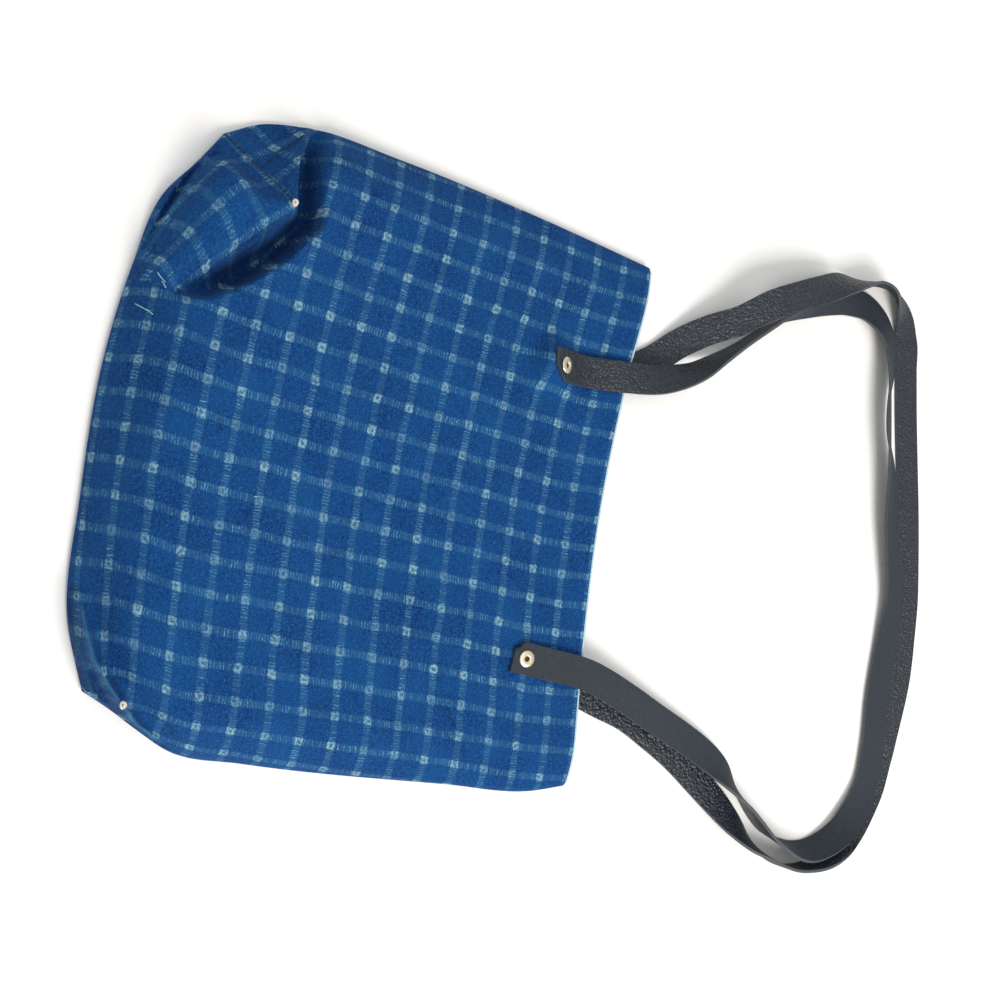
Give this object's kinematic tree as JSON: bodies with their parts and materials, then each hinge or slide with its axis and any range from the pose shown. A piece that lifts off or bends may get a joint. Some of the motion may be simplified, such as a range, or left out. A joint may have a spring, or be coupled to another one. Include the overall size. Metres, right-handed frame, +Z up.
{
  "type": "tote bag",
  "caption": "Woven cotton tote bag with a boxed base, open mouth and long riveted leather handles, lying on its back.",
  "frame": {"origin": "on the ground, under the middle of the bounding box of the bag and its handles", "axes": "+Z up out of the front panel, +Y from the boxed base towards the mouth and the handles, +X across the mouth from the side whose base corner stands up to the side whose base corner is tucked under"},
  "size_m": [0.4042, 0.5778, 0.0437],
  "materials": {
    "indigo_cotton": "matte woven check, indigo with paler threads",
    "pale_facing": "matte plain cloth",
    "charcoal_leather": "pebbled grain side, smooth matte flesh side",
    "rivet_metal": "polished nickel plate"
  },
  "bodies": {
    "root": {"bag_body": "indigo_cotton", "mouth_facing": "pale_facing", "front_handle": "charcoal_leather", "back_handle": "charcoal_leather", "front_rivet_minus": "rivet_metal", "front_rivet_plus": "rivet_metal", "back_rivet_minus": "rivet_metal", "back_rivet_plus": "rivet_metal"}
  },
  "joints": []
}
